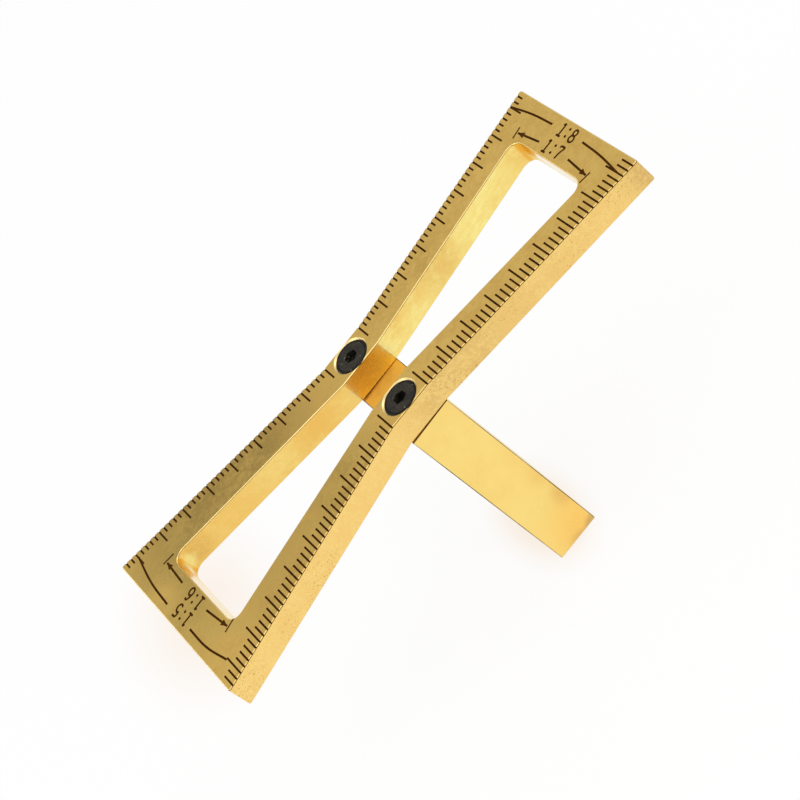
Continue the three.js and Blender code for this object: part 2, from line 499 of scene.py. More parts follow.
# Painted light on the window walls: orange reflections, darker shade at the waist, a golden
# highlight in a fillet and pale reflections on the end walls.
WINDOW_PAINTED_LIGHT = (
    StainOrPaintedLight((-36, 10, 39.5), 17, 0.8, PAINTED_REFLECTION_ORANGE, 0.75),
    StainOrPaintedLight((-18, 7, 39.5), 19, 0.65, PAINTED_REFLECTION_ORANGE, 0.6),
    StainOrPaintedLight((-8, 5, 39.5), 11, 0.6, PAINTED_REFLECTION_ORANGE, 0.7),
    StainOrPaintedLight((40, 9.5, 39.5), 5, 0.5, PAINTED_REFLECTION_ORANGE),
    StainOrPaintedLight((18.5, 6.5, 41), 7.5, 0.6, (0.80, 0.50, 0.13, 1)),
    StainOrPaintedLight((7.5, 4.9, 42.1), 4.2, 0.55, PAINTED_REFLECTION_ORANGE),
    StainOrPaintedLight((12.5, 5.7, 42.1), 4.2, 0.5, PAINTED_REFLECTION_ORANGE),
    StainOrPaintedLight((0, 4.5, 39.5), 4.8, 0.75, (0.60, 0.40, 0.17, 1), 0.8),
    StainOrPaintedLight((-36.6, 10.1, 39.5), 3.8, 0.7, (0.74, 0.45, 0.11, 1), 0.5),
    StainOrPaintedLight((-39.3, 10, 39.5), 2.4, 0.6, (1.0, 0.90, 0.34, 1), 0.8),
    StainOrPaintedLight((-40.2, 8.6, 39.5), 2.2, 0.7, (1.0, 0.95, 0.85, 1), 0.8),
    StainOrPaintedLight((-40.2, 0, 39.5), 10, 0.8, (1.0, 0.86, 0.64, 1), 0.8),
    StainOrPaintedLight((40.2, 0, 39.5), 8, 0.8, (1.0, 0.91, 0.80, 1), 0.8),
)
# Painted warm shade on the fence's side, oranger and darker towards its foot and along its +X edge.
BAR_PAINTED_SHADE = (
    StainOrPaintedLight((3.6, -10.7, 3), 8.5, 0.8, (1.0, 0.62, 0.15, 1), 0.7),
    StainOrPaintedLight((4.6, -10.7, 8.5), 4.2, 0.9, (0.84, 0.52, 0.14, 1), 0.6),
    StainOrPaintedLight((5, -10.7, 14.5), 4.2, 0.9, (0.90, 0.57, 0.15, 1), 0.6),
    StainOrPaintedLight((5, -10.7, 20), 4, 0.6, (0.92, 0.60, 0.16, 1), 0.6),
    StainOrPaintedLight((3.6, -10.7, -0.4), 3, 1.0, (0.64, 0.40, 0.14, 1), 0.7),
    StainOrPaintedLight((0.6, -10.7, -0.8), 3, 0.8, (0.76, 0.47, 0.14, 1), 0.7),
    StainOrPaintedLight((-0.2, -10.7, 20), 10, 0.35, (1.0, 0.70, 0.20, 1), 0.3),
)
# Painted shade on the fence's rounded edges, in uneven patches.
RIM_PAINTED_SHADE = (
    StainOrPaintedLight((-4, -10.7, 24), 14, 1.0, SHADED, 0.7),
    StainOrPaintedLight((-4, -10.7, 10), 12, 0.7, SHADED, 0.5),
    StainOrPaintedLight((4, -10.7, 11.5), 9, 1.0, SHADED, 0.7),
    StainOrPaintedLight((4, -10.7, 3), 6, 0.8, SHADED, 0.5),
    StainOrPaintedLight((4, -10.7, 30), 8, 0.5, SHADED, 0.4),
)


class FinishSet:
    """Every finish on the marker, built once."""

    def __init__(self) -> None:
        """Builds the materials."""
        self.effects = SharedEffects()
        self.face = self._brass(
            "brass_lapped_face", (0.97, 0.655, 0.175, 1), (0.77, 0.50, 0.128, 1),
            clouds=(260.0, 0.5), line_turn=0.9, line_share=0.3, scratch_share=0.5,
            rough=(0.34, 0.46), bump=0.22, stains=FACE_STAINS,
        )
        self.wall = self._brass(
            "brass_milled_wall", (1.0, 0.765, 0.275, 1), (0.95, 0.63, 0.2, 1),
            clouds=(260.0, 0.6), grain_share=0.85, specks=(4300.0, 0.605, 110.0),
            speck_depth=0.6, line_axis=LineAxis.X, line_turn=math.pi / 2, line_share=0.45,
            bump=0.4, rough=(0.26, 0.38), stains=WALL_DARK_PATCHES,
        )
        # The window walls carry painted reflections, a painted highlight and painted shade as
        # patches.
        self.window = self._brass(
            "brass_window_wall", (1.0, 0.92, 0.35, 1), (0.95, 0.70, 0.205, 1),
            clouds=(160.0, 0.4), line_turn=math.pi / 2, line_share=0.6,
            specks=(2600.0, 0.69, 110.0), rough=(0.24, 0.32), bump=0.16, stains=WINDOW_PAINTED_LIGHT,
        )
        self.seat = self._brass(
            "brass_screw_seat", (1.0, 0.80, 0.40, 1), (0.95, 0.72, 0.32, 1),
            rough=(0.34, 0.42), bump=0.05,
        )
        self.edge = self._brass(
            "brass_worn_edge", (0.98, 0.73, 0.27, 1), (0.86, 0.61, 0.2, 1),
            clouds=(300.0, 0.4), rough=(0.42, 0.55), bump=0.3,
        )
        # A paler copy of the brass on the -X end's top chamfer and the far window rims: a painted
        # highlight.
        self.glint = self._brass(
            "brass_painted_glint", (1.0, 0.80, 0.36, 1), (1.0, 0.76, 0.30, 1),
            rough=(0.3, 0.4),
        )
        # The fence's side carries painted warm shade as patches.
        self.bar = self._brass(
            "brass_fence_bar", (1.0, 0.745, 0.24, 1), (0.96, 0.69, 0.205, 1),
            clouds=(90.0, 0.3), line_share=0.12, rough=(0.2, 0.28), bump=0.12,
            stains=BAR_PAINTED_SHADE,
        )
        # A darker copy of the brass on the fence's rounded edges: painted shade.
        self.bar_rim_shade = self._brass(
            "brass_fence_rim_painted_shade", (0.88, 0.66, 0.25, 1), (0.62, 0.45, 0.17, 1),
            clouds=(300.0, 0.4), rough=(0.4, 0.5), stains=RIM_PAINTED_SHADE,
        )
        self.bar_top = self._brass(
            "brass_fence_top", (1.0, 0.67, 0.16, 1), (0.97, 0.61, 0.13, 1),
            rough=(0.55, 0.62), bump=0.1,
        )
        # A near-black copy of the brass on narrow faces in the creases under the chamfers, on the
        # +Y window rims and on the fence's top rim at the joint: painted shade.
        self.seam = self._brass(
            "brass_painted_crease_shade", (0.20, 0.078, 0.012, 1), (0.10, 0.036, 0.005, 1),
            rough=(0.6, 0.8),
        )
        self.fill = self._dark(
            "engraving_fill", (0.052, 0.014, 0.001, 1), (0.10, 0.036, 0.003, 1),
            clouds=(350.0, 0.5), dust_share=0.0, dust_height=0.0, rough=(0.6, 0.85),
            metallic=0.0, shine=0.05, bump=0.3, relief=0.00004,
        )
        self.oxide = self._dark(
            "black_oxide_steel", (0.010, 0.008, 0.005, 1), (0.056, 0.047, 0.032, 1)
        )
        # A blacker copy of the oxide on the head's outer rim: painted shade of the gap round the
        # head.
        self.oxide_rim_shade = self._dark(
            "black_oxide_rim_painted_shade", (0.006, 0.005, 0.004, 1), (0.016, 0.014, 0.011, 1), rough=(0.5, 0.7)
        )

    def _brass(self, name: str, bright: Colour, dull: Colour, **look: object) -> Material:
        """Returns the material of one brass finish."""
        return BrassFinish(name, bright, dull, **look).build(self.effects)

    def _dark(self, name: str, coat: Colour, bloom: Colour, **look: object) -> Material:
        """Returns the material of one dark finish."""
        return DarkFinish(name, coat, bloom, **look).build(self.effects)


def to_mesh(bm: BMesh, name: str, *materials: Material) -> Mesh:
    """Turns a bmesh into a mesh with its normals outward, and frees it.

    Args:
        bm: The finished bmesh.
        name: The mesh's name.
        materials: Its materials, in the order of its faces' indexes.

    Returns:
        The mesh.
    """
    bmesh.ops.recalc_face_normals(bm, faces=bm.faces)
    mesh = bpy.data.meshes.new(name)
    bm.to_mesh(mesh)
    bm.free()
    for material in materials:
        mesh.materials.append(material)
    return mesh


def combine(body: Mesh, tool: Mesh, combining: Combining = Combining.CUT) -> Mesh:
    """Cuts or joins two closed meshes.

    Args:
        body: The mesh that is worked on.
        tool: The mesh that cuts it or is joined to it.
        combining: Which of the two.

    Returns:
        A new mesh. Both given ones are removed.
    """
    blank = bpy.data.objects.new("blank", body)
    cutter = bpy.data.objects.new("cutter", tool)
    for part in (blank, cutter):
        bpy.context.scene.collection.objects.link(part)
    change = blank.modifiers.new("change", "BOOLEAN")
    change.operation = combining.value
    change.solver = "MANIFOLD"
    change.material_mode = "TRANSFER"
    change.object = cutter
    bpy.context.view_layer.update()
    evaluated = blank.evaluated_get(bpy.context.evaluated_depsgraph_get())
    result = bpy.data.meshes.new_from_object(evaluated)
    for part in (blank, cutter):
        bpy.data.objects.remove(part)
    for mesh in (body, tool):
        bpy.data.meshes.remove(mesh)
    return result


def place_piece(
    mesh: Mesh, name: str, body: Body, node: str, smooth_angle: float = 28.0
) -> Object:
    """Scales a mesh to metres and makes it a piece that stands for a CAD node.

    Args:
        mesh: The finished mesh in millimetres.
        name: The piece's name.
        body: The body that it rides on.
        node: The CAD node that it replaces.
        smooth_angle: Degrees past which an edge between two faces stays sharp.

    Returns:
        The piece, at the origin, unturned and unscaled.
    """
    mesh.transform(Matrix.Scale(MM, 4))
    mesh.name = name
    mesh.shade_smooth()
    mesh.set_sharp_from_angle(angle=math.radians(smooth_angle))
    piece = bpy.data.objects.new(name, mesh)
    bpy.context.scene.collection.objects.link(piece)
    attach(piece, body.value)
    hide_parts(node)
    log.info("%s: %d faces, stands for %s", name, len(mesh.polygons), node)
    return piece


def lathe(profile: list[Pair], sides: int, centre: Pair = (0, 0)) -> BMesh:
    """Spins a profile about an upright axis into a closed solid.

    Args:
        profile: Radius and height pairs, from the axis and back to it.
        sides: Steps in the full turn.
        centre: Where the axis stands.

    Returns:
        The closed solid.
    """
    bm = bmesh.new()
    x, y = centre
    verts = [bm.verts.new((x + radius, y, z)) for radius, z in profile]
    edges = [bm.edges.new(pair) for pair in zip(verts, verts[1:])]
    bmesh.ops.spin(
        bm, geom=verts + edges, cent=(x, y, 0), axis=(0, 0, 1), angle=FULL_TURN,
        steps=sides, use_merge=True,
    )
    bmesh.ops.remove_doubles(bm, verts=bm.verts, dist=MERGE_DISTANCE)
    bmesh.ops.recalc_face_normals(bm, faces=bm.faces)
    return bm


def bevel(
    bm: BMesh, items: list[BMEdge | BMVert], width: float, segments: int, affect: str = "EDGES"
) -> None:
    """Bevels those of the edges or corners that an earlier bevel left, evenly by a width."""
    bmesh.ops.bevel(
        bm, geom=[item for item in items if item.is_valid], offset=width, offset_type="OFFSET",
        segments=segments, profile=0.5, affect=affect, material=-1, clamp_overlap=False,
    )


def everything(bm: BMesh) -> list[BMVert | BMEdge | BMFace]:
    """Returns all the geometry of a bmesh."""
    return bm.verts[:] + bm.edges[:] + bm.faces[:]


class PlatePart(IntEnum):
    """Places of the plate's finishes in its list of materials."""

    FACE = 0
    WALL = 1
    EDGE = 2
    WINDOW = 3
    # narrow crease and rim faces that carry painted shade
    SEAM = 4
    # chamfers that carry a painted highlight
    GLINT = 5


class BarPart(IntEnum):
    """Places of the fence's finishes in its list of materials."""

    BAR = 0
    # the top rim at the joint with the plate, which carries painted shade
    SEAM = 1
    TOP = 2
    # the rounded edges, which carry painted shade
    RIM_SHADE = 3


@dataclass(frozen=True)
class Rail:
    """One pair of straight edges of the bow tie, outline or window, mirrored in Y."""

    waist: float
    shallow_slope: float
    steep_slope: float
    fence_face: float

    def edge_y(self, end: End, x: float) -> float:
        """Returns the edge's distance from the middle line at a distance x from the centre."""
        slope = self.shallow_slope if end is End.SHALLOW else self.steep_slope
        return self.waist / 2 + max(0.0, x - self.fence_face) * slope


@dataclass
class Pen:
    """Draws round-bottomed engraved strokes as tubes that lie in the plate's top face."""

    GLYPHS: ClassVar[dict[str, list[list[Pair]]]] = {
        "1": [[(0.28, 0.0), (0.28, 1.0)], [(0.28, 1.0), (0.09, 0.84)], [(0.04, 0.0), (0.52, 0.0)]],
        "5": [
            [(0.48, 1.0), (0.1, 1.0)],
            [(0.1, 1.0), (0.07, 0.56)],
            [(0.07, 0.56), (0.28, 0.64), (0.5, 0.34), (0.28, 0.02), (0.04, 0.12)],
        ],
        "6": [
            [(0.46, 0.9), (0.3, 0.99), (0.1, 0.72), (0.035, 0.37)],
            [(0.03, 0.31), (0.26, 0.6), (0.5, 0.31), (0.26, 0.01), (0.03, 0.31)],
        ],
        "7": [
            [(0.04, 0.85), (0.06, 1.0)],
            [(0.05, 1.0), (0.52, 1.0)],
            [(0.52, 1.0), (0.32, 0.5), (0.24, 0.0)],
        ],
        "8": [
            [(0.27, 1.0), (0.07, 0.77), (0.26, 0.52), (0.47, 0.77), (0.27, 1.0)],
            [(0.28, 0.0), (0.52, 0.26), (0.27, 0.545), (0.02, 0.27), (0.28, 0.0)],
        ],
    }
    DOTS: ClassVar[dict[str, list[Pair]]] = {":": [(0.26, 0.2), (0.26, 0.8)]}

    top: float
    stroke: float = 0.18
    hair: float = 0.15
    glyph_height: float = 2.15
    dot_ratio: float = 1.35
    dot_sides: int = 16
    head_length: float = 1.6
    head_middle: float = 0.62
    head_reach: float = 0.66
    head_squeeze: float = 0.55
    head_depth: float = 0.2
    round_steps: int = 3
    bend_steps: int = 6
    drawn: list[Mesh] = field(default_factory=list)

    def line(self, points: Stroke, radius: float) -> None:
        """Adds a smooth round stroke in the plane of the face, closed at its ends.

        Args:
            points: Where it passes. It is a loop if the last is the first.
            radius: Half its width.
        """
        curve = bpy.data.curves.new("stroke", "CURVE")
        curve.dimensions = "3D"
        curve.bevel_depth = radius
        curve.bevel_resolution = self.round_steps
        curve.resolution_u = self.bend_steps
        curve.use_fill_caps = True
        spline = curve.splines.new("BEZIER")
        looped = points[0] == points[-1]
        spline.use_cyclic_u = looped
        knots = points[:-1] if looped else points
        spline.bezier_points.add(len(knots) - 1)
        for knot, (x, y) in zip(spline.bezier_points, knots):
            knot.co = (x, y, self.top)
            knot.handle_left_type = knot.handle_right_type = "AUTO"
        holder = bpy.data.objects.new("stroke", curve)
        tube = bmesh.new()
        tube.from_mesh(holder.to_mesh())
        bmesh.ops.remove_doubles(tube, verts=tube.verts, dist=MERGE_DISTANCE)
        bmesh.ops.triangulate(tube, faces=tube.faces)
        self.drawn.append(to_mesh(tube, "stroke"))
        bpy.data.objects.remove(holder)
        bpy.data.curves.remove(curve)

    def arrow(self, tail: Pair, tip: Pair) -> None:
        """Adds an arrow with a filled head.

        Args:
            tail: Where it starts.
            tip: Where the point of its head is.
        """
        self.line((tail, tip), self.stroke)
        ahead = (Vector(tip) - Vector(tail)).normalized()
        middle = Vector(tip) - ahead * self.head_length * self.head_middle
        place = (
            Matrix.Translation((middle.x, middle.y, self.top))
            @ Matrix.Rotation(math.atan2(ahead.y, ahead.x), 4, "Z")
            @ Matrix.Diagonal((1, self.head_squeeze, 1, 1))
            @ Matrix.Rotation(math.pi / 2, 4, "Z")
            @ Matrix.Rotation(math.pi, 4, "Z")
        )
        reach = self.head_length * self.head_reach
        bm = bmesh.new()
        bmesh.ops.create_cone(
            bm, cap_ends=True, segments=3, radius1=reach, radius2=reach, depth=self.head_depth,
            matrix=place,
        )
        self.drawn.append(to_mesh(bm, "arrow_head"))

    def word(self, text: str, end: End, corner: Pair, pitch: float) -> None:
        """Writes a ratio with its foot toward the fence.

        Args:
            text: The characters.
            end: The end bar that it is on.
            corner: The lower left corner of the first character.
            pitch: Distance from one character to the next.
        """
        ahead, up = Vector((0, -end.value)), Vector((end.value, 0))
        height = self.glyph_height
        for index, letter in enumerate(text):
            start = Vector(corner) + ahead * pitch * index
            for stroke in self.GLYPHS.get(letter, []):
                spots = [start + ahead * u * height + up * v * height for u, v in stroke]
                self.line(tuple(spot.to_tuple() for spot in spots), self.stroke)
            for u, v in self.DOTS.get(letter, []):
                dot = start + ahead * u * height + up * v * height
                bm = bmesh.new()
                bmesh.ops.create_uvsphere(
                    bm, u_segments=self.dot_sides, v_segments=self.dot_sides // 2,
                    radius=self.stroke * self.dot_ratio,
                    matrix=Matrix.Translation((dot.x, dot.y, self.top)),
                )
                self.drawn.append(to_mesh(bm, "dot"))

    def finish(self) -> Mesh:
        """Returns the drawing as one closed mesh, its strokes joined where they cross."""
        drawing = self.drawn[0]
        for stroke in self.drawn[1:]:
            drawing = combine(drawing, stroke, Combining.JOIN)
        return drawing


@dataclass
class Markings:
    """The engraving on the end bars and along the rails, as cutters for the plate."""

    top: float
    outline: Rail
    marks: int = 43
    mark_width: float = 0.39
    mark_depth: float = 0.19
    mark_floor_share: float = 0.6
    short_mark: float = 2.2
    long_mark: float = 3.9
    long_step: int = 5
    shift: float = 0.5
    notch_width: float = 0.46
    notch_reach: float = 0.13
    notch_depth: float = 0.24
    overrun: float = 1.0
    words: tuple[tuple[str, End, Pair, float], ...] = (
        ("1:8", End.SHALLOW, (44.1, 2.45), 1.5),
        ("1:7", End.SHALLOW, (40.95, 2.85), 1.6),
        ("1:6", End.STEEP, (-40.75, -1.95), 1.55),
        ("1:5", End.STEEP, (-43.7, -2.1), 1.55),
    )
    leaders: tuple[Stroke, ...] = (
        ((45.09, 4.55), (44.81, 9.9), (44.04, 15.28)),
        ((45.14, -3.7), (44.79, -9.05), (44.02, -14.2)),
        ((-45.42, 4.48), (-45.05, 10.9), (-43.94, 17.37)),
        ((-45.33, -3.47), (-45.23, -9.1), (-44.22, -14.5)),
    )
    arrows: tuple[Stroke, ...] = (
        ((41.86, 4.35), (41.31, 9.77)),
        ((41.91, -3.55), (41.33, -9.1)),
        ((-41.58, 4.85), (-41.25, 10.86)),
        ((-41.64, -3.69), (-40.94, -9.78)),
    )
    witness_lines: tuple[Stroke, ...] = (
        ((42.19, 10.29), (40.2, 9.97)),
        ((42.02, -9.48), (39.91, -9.06)),
        ((-39.6, 11.06), (-41.81, 11.4)),
        ((-39.52, -9.83), (-41.74, -10.32)),
    )

    def scale_grooves(self) -> Mesh:
        """Returns the grooves of the four millimetre scales."""
        bm = bmesh.new()
        for end in End:
            for side in (-1, 1):
                for step in range(self.marks):
                    x = self.outline.fence_face + step
                    edge = self.outline.edge_y(end, x)
                    length = self.long_mark if step % self.long_step == 0 else self.short_mark
                    reach = (side * (edge - length) + self.shift, side * (edge + self.overrun))
                    self._groove(bm, end.value * x, reach, self.mark_width, self.mark_depth)
        return to_mesh(bm, "scale_grooves")

    def run_outs(self) -> Mesh:
        """Returns the notches where the marks break out of the two far edges."""
        bm = bmesh.new()
        for end in End:
            for step in range(self.marks):
                x = self.outline.fence_face + step
                edge = self.outline.edge_y(end, x)
                reach = (edge - self.notch_reach, edge + self.overrun)
                self._groove(bm, end.value * x, reach, self.notch_width, self.notch_depth)
        return to_mesh(bm, "run_outs")

    def _groove(self, bm: BMesh, x: float, reach: Pair, width: float, depth: float) -> None:
        """Adds one groove across a rail's edge, narrower at its floor.

        Args:
            bm: The bmesh that it goes into.
            x: Its place along the rail.
            reach: The Y of its inner and outer ends.
            width: Its width at the top.
            depth: Its depth.
        """
        inner, outer = reach
        size = Vector((width, abs(outer - inner), 2 * depth))
        centre = Vector((x, (inner + outer) / 2, self.top))
        made = bmesh.ops.create_cube(bm, size=1.0, matrix=Matrix.LocRotScale(centre, None, size))
        floor = [vert for vert in made["verts"] if vert.co.z < self.top]
        narrower = (self.mark_floor_share, 1, 1)
        bmesh.ops.scale(bm, verts=floor, vec=narrower, space=Matrix.Translation(-centre))

    def lettering(self) -> Mesh:
        """Returns the numerals, leaders, arrows and witness lines of both ends."""
        pen = Pen(self.top)
        for word in self.words:
            pen.word(*word)
        for leader in self.leaders:
            pen.line(leader, pen.stroke)
        for arrow in self.arrows:
            pen.arrow(*arrow)
        for witness in self.witness_lines:
            pen.line(witness, pen.hair)
        return pen.finish()


@dataclass
class EngravedPlate:
    """The bow-tie plate: a closed ring with a bow-tie window, engraved and countersunk."""

    finishes: FinishSet
    base: float = 37.2
    thickness: float = 4.7
    fence_face: float = 4.0
    end_x: float = 47.0
    window_end_x: float = 40.2
    corner_radius: float = 0.4
    corner_steps: int = 14
    window_radius: float = 2.0
    window_steps: int = 16
    top_chamfer: float = 0.15
    fine_chamfer: float = 0.13
    screw_y: float = 7.6
    hole_radius: float = 1.7
    hole_sides: int = 72
    seat_radius: float = 1.5707
    seat_depth: float = 1.6
    overrun: float = 1.0
    crease_shade_width: float = 0.058
    inner_crease_shade_width: float = 0.035
    smooth_angle: float = 6.8
    flat_tilt: float = 0.99
    rim_tilt: float = 0.5
    wall_tilt: float = 0.05

    def __post_init__(self) -> None:
        """Works out the edges and the top."""
        self.outer = Rail(21.4, 1 / 8, 1 / 5, self.fence_face)
        self.window = Rail(9.0, 1 / 7, 1 / 6, self.fence_face)
        self.top = self.base + self.thickness

    def build(self) -> Object:
        """Builds, engraves and places the plate.

        Returns:
            The piece.
        """
        finishes = self.finishes
        mesh = to_mesh(
            self._blank(), "plate_blank", finishes.face, finishes.wall, finishes.edge,
            finishes.window, finishes.seam, finishes.glint,
        )
        for side in (-1, 1):
            seat = to_mesh(self._countersink(side * self.screw_y), "seat", finishes.seat)
            mesh = combine(mesh, seat)
        markings = Markings(self.top, self.outer)
        for cutter in (markings.scale_grooves(), markings.run_outs(), markings.lettering()):
            # a joined drawing has one empty slot, which would count as a finish of the plate
            cutter.materials.clear()
            cutter.materials.append(finishes.fill)
            mesh = combine(mesh, cutter)
        return place_piece(
            mesh, "engraved_plate", Body.MARKER, "bow_tie_frame", self.smooth_angle
        )

    def _half_line(self, rail: Rail, end_x: float, radius: float) -> list[Triple]:
        """Lists the corners along one rail, those with Y at or above zero.

        Args:
            rail: The rail.
            end_x: How far out its end bars' edges lie.
            radius: What its corners are rounded to.

        Returns:
            The X, Y and rounding radius of each corner, from +X to -X.
        """
        shallow, steep = (rail.edge_y(end, end_x) for end in End)
        return [
            (end_x, 0, 0),
            (end_x, shallow, radius),
            (self.fence_face, rail.waist / 2, 0),
            (-self.fence_face, rail.waist / 2, 0),
            (-end_x, steep, radius),
            (-end_x, 0, 0),
        ]

    def _blank(self) -> BMesh:
        """Builds the plate before it is drilled and engraved.

        Returns:
            The closed ring, its faces given their finishes.
        """
        bm = bmesh.new()
        corners = self._half_line(self.outer, self.end_x, self.corner_radius)
        corners += reversed(self._half_line(self.window, self.window_end_x, self.window_radius))
        verts = [bm.verts.new((x, y, self.base)) for x, y, _ in corners]
        bm.faces.new(verts)
        for vert, (_, _, radius) in zip(verts, corners):
            if radius:
                self._round_corner(bm, vert, radius)
        raised = bmesh.ops.extrude_face_region(bm, geom=bm.faces[:], use_keep_orig=True)
        lifted = [item for item in raised["geom"] if isinstance(item, BMVert)]
        bmesh.ops.translate(bm, verts=lifted, vec=(0, 0, self.thickness))
        cut_faces = [
            face for face in bm.faces
            if all(abs(vert.co.y) < MERGE_DISTANCE for vert in face.verts)
        ]
        bmesh.ops.delete(bm, geom=cut_faces, context="FACES_ONLY")
        rims = [edge for edge in bm.edges if self._is_rim(edge)]
        heavy = [edge for edge in rims if self._is_top(edge) and self._is_outer(edge)]
        bevel(bm, [edge for edge in rims if edge not in heavy], self.fine_chamfer, 1)
        bevel(bm, heavy, self.top_chamfer, 1)
        # narrow faces in the creases under the top chamfers, which carry painted shade
        creases = [edge for edge in bm.edges if self._is_crease(edge)]
        outer = [edge for edge in creases if self._is_outer(edge)]
        inner = [edge for edge in creases if edge not in outer]
        bevel(bm, outer, self.crease_shade_width, 1)
        bevel(bm, inner, self.inner_crease_shade_width, 1)
        bmesh.ops.mirror(bm, geom=everything(bm), axis="Y", merge_dist=MERGE_DISTANCE)
        bmesh.ops.remove_doubles(bm, verts=bm.verts, dist=MERGE_DISTANCE)
        bmesh.ops.recalc_face_normals(bm, faces=bm.faces)
        for face in bm.faces:
            face.material_index = self._finish_index(face)
        return bm

    def _finish_index(self, face: BMFace) -> PlatePart:
        """Tells the finish of a face of the blank by its tilt.

        Args:
            face: The face.

        Returns:
            The place of its finish.
        """
        normal, tilt = face.normal, abs(face.normal.z)
        outside = self._is_outside(face.calc_center_median())
        if tilt > self.flat_tilt:
            return PlatePart.FACE
        if tilt < self.wall_tilt:
            return PlatePart.WALL if outside else PlatePart.WINDOW
        # narrow crease faces get painted shade
        if tilt < self.rim_tilt:
            return PlatePart.SEAM
        if normal.z < 0:
            return PlatePart.EDGE
        # outer top chamfers at the -X end get a painted highlight
        if outside:
            return PlatePart.GLINT if normal.x < -self.rim_tilt else PlatePart.EDGE
        if abs(normal.y) <= self.rim_tilt:
            return PlatePart.EDGE
        # window rims facing +Y get painted shade, those facing -Y a painted highlight
        return PlatePart.SEAM if normal.y > 0 else PlatePart.GLINT

    def _round_corner(self, bm: BMesh, vert: BMVert, radius: float) -> None:
        """Rounds one corner of the flat outline.

        Args:
            bm: The bmesh.
            vert: The corner.
            radius: The radius that it gets.
        """
        back, ahead = (edge.other_vert(vert).co - vert.co for edge in vert.link_edges)
        reach = radius / math.tan(back.angle(ahead) / 2)
        steps = self.window_steps if radius == self.window_radius else self.corner_steps
        bevel(bm, [vert], reach, steps, "VERTICES")

    @staticmethod
    def _is_rim(edge: BMEdge) -> bool:
        """Tells whether an edge runs along a rim, not across the middle or down a wall."""
        (_, y, z), (_, other_y, other_z) = (vert.co for vert in edge.verts)
        return abs(z - other_z) < MERGE_DISTANCE <= max(abs(y), abs(other_y))

    def _is_top(self, edge: BMEdge) -> bool:
        """Tells whether an edge lies in the engraved face."""
        return edge.verts[0].co.z > self.base + self.thickness / 2

    def _is_outer(self, edge: BMEdge) -> bool:
        """Tells whether a rim edge belongs to the outline and not to the window."""
        return self._is_outside((edge.verts[0].co + edge.verts[1].co) / 2)

    def _is_crease(self, edge: BMEdge) -> bool:
        """Tells whether an edge parts a top chamfer from the wall under it."""
        brink = self.top - (self.top_chamfer if self._is_outer(edge) else self.fine_chamfer)
        return all(abs(vert.co.z - brink) < MERGE_DISTANCE for vert in edge.verts)

    def _is_outside(self, place: Vector) -> bool:
        """Tells whether a place on a wall or rim is nearer the outline than the window.

        Args:
            place: The place.

        Returns:
            Whether it is.
        """
        end = End.SHALLOW if place.x > 0 else End.STEEP
        x = abs(place.x)
        parting = (self.outer.edge_y(end, x) + self.window.edge_y(end, x)) / 2
        return x > (self.end_x + self.window_end_x) / 2 or abs(place.y) > parting

    def _countersink(self, y: float) -> BMesh:
        """Returns the cutter of the hole and seat of the screw at Y."""
        profile = [
            (0, self.base - self.overrun),
            (self.hole_radius, self.base - self.overrun),
            (self.hole_radius, self.top - self.seat_depth + (self.hole_radius - self.seat_radius)),
            (self.seat_radius + self.seat_depth + self.overrun, self.top + self.overrun),
            (0, self.top + self.overrun),
        ]
        return lathe(profile, self.hole_sides, (0, y))


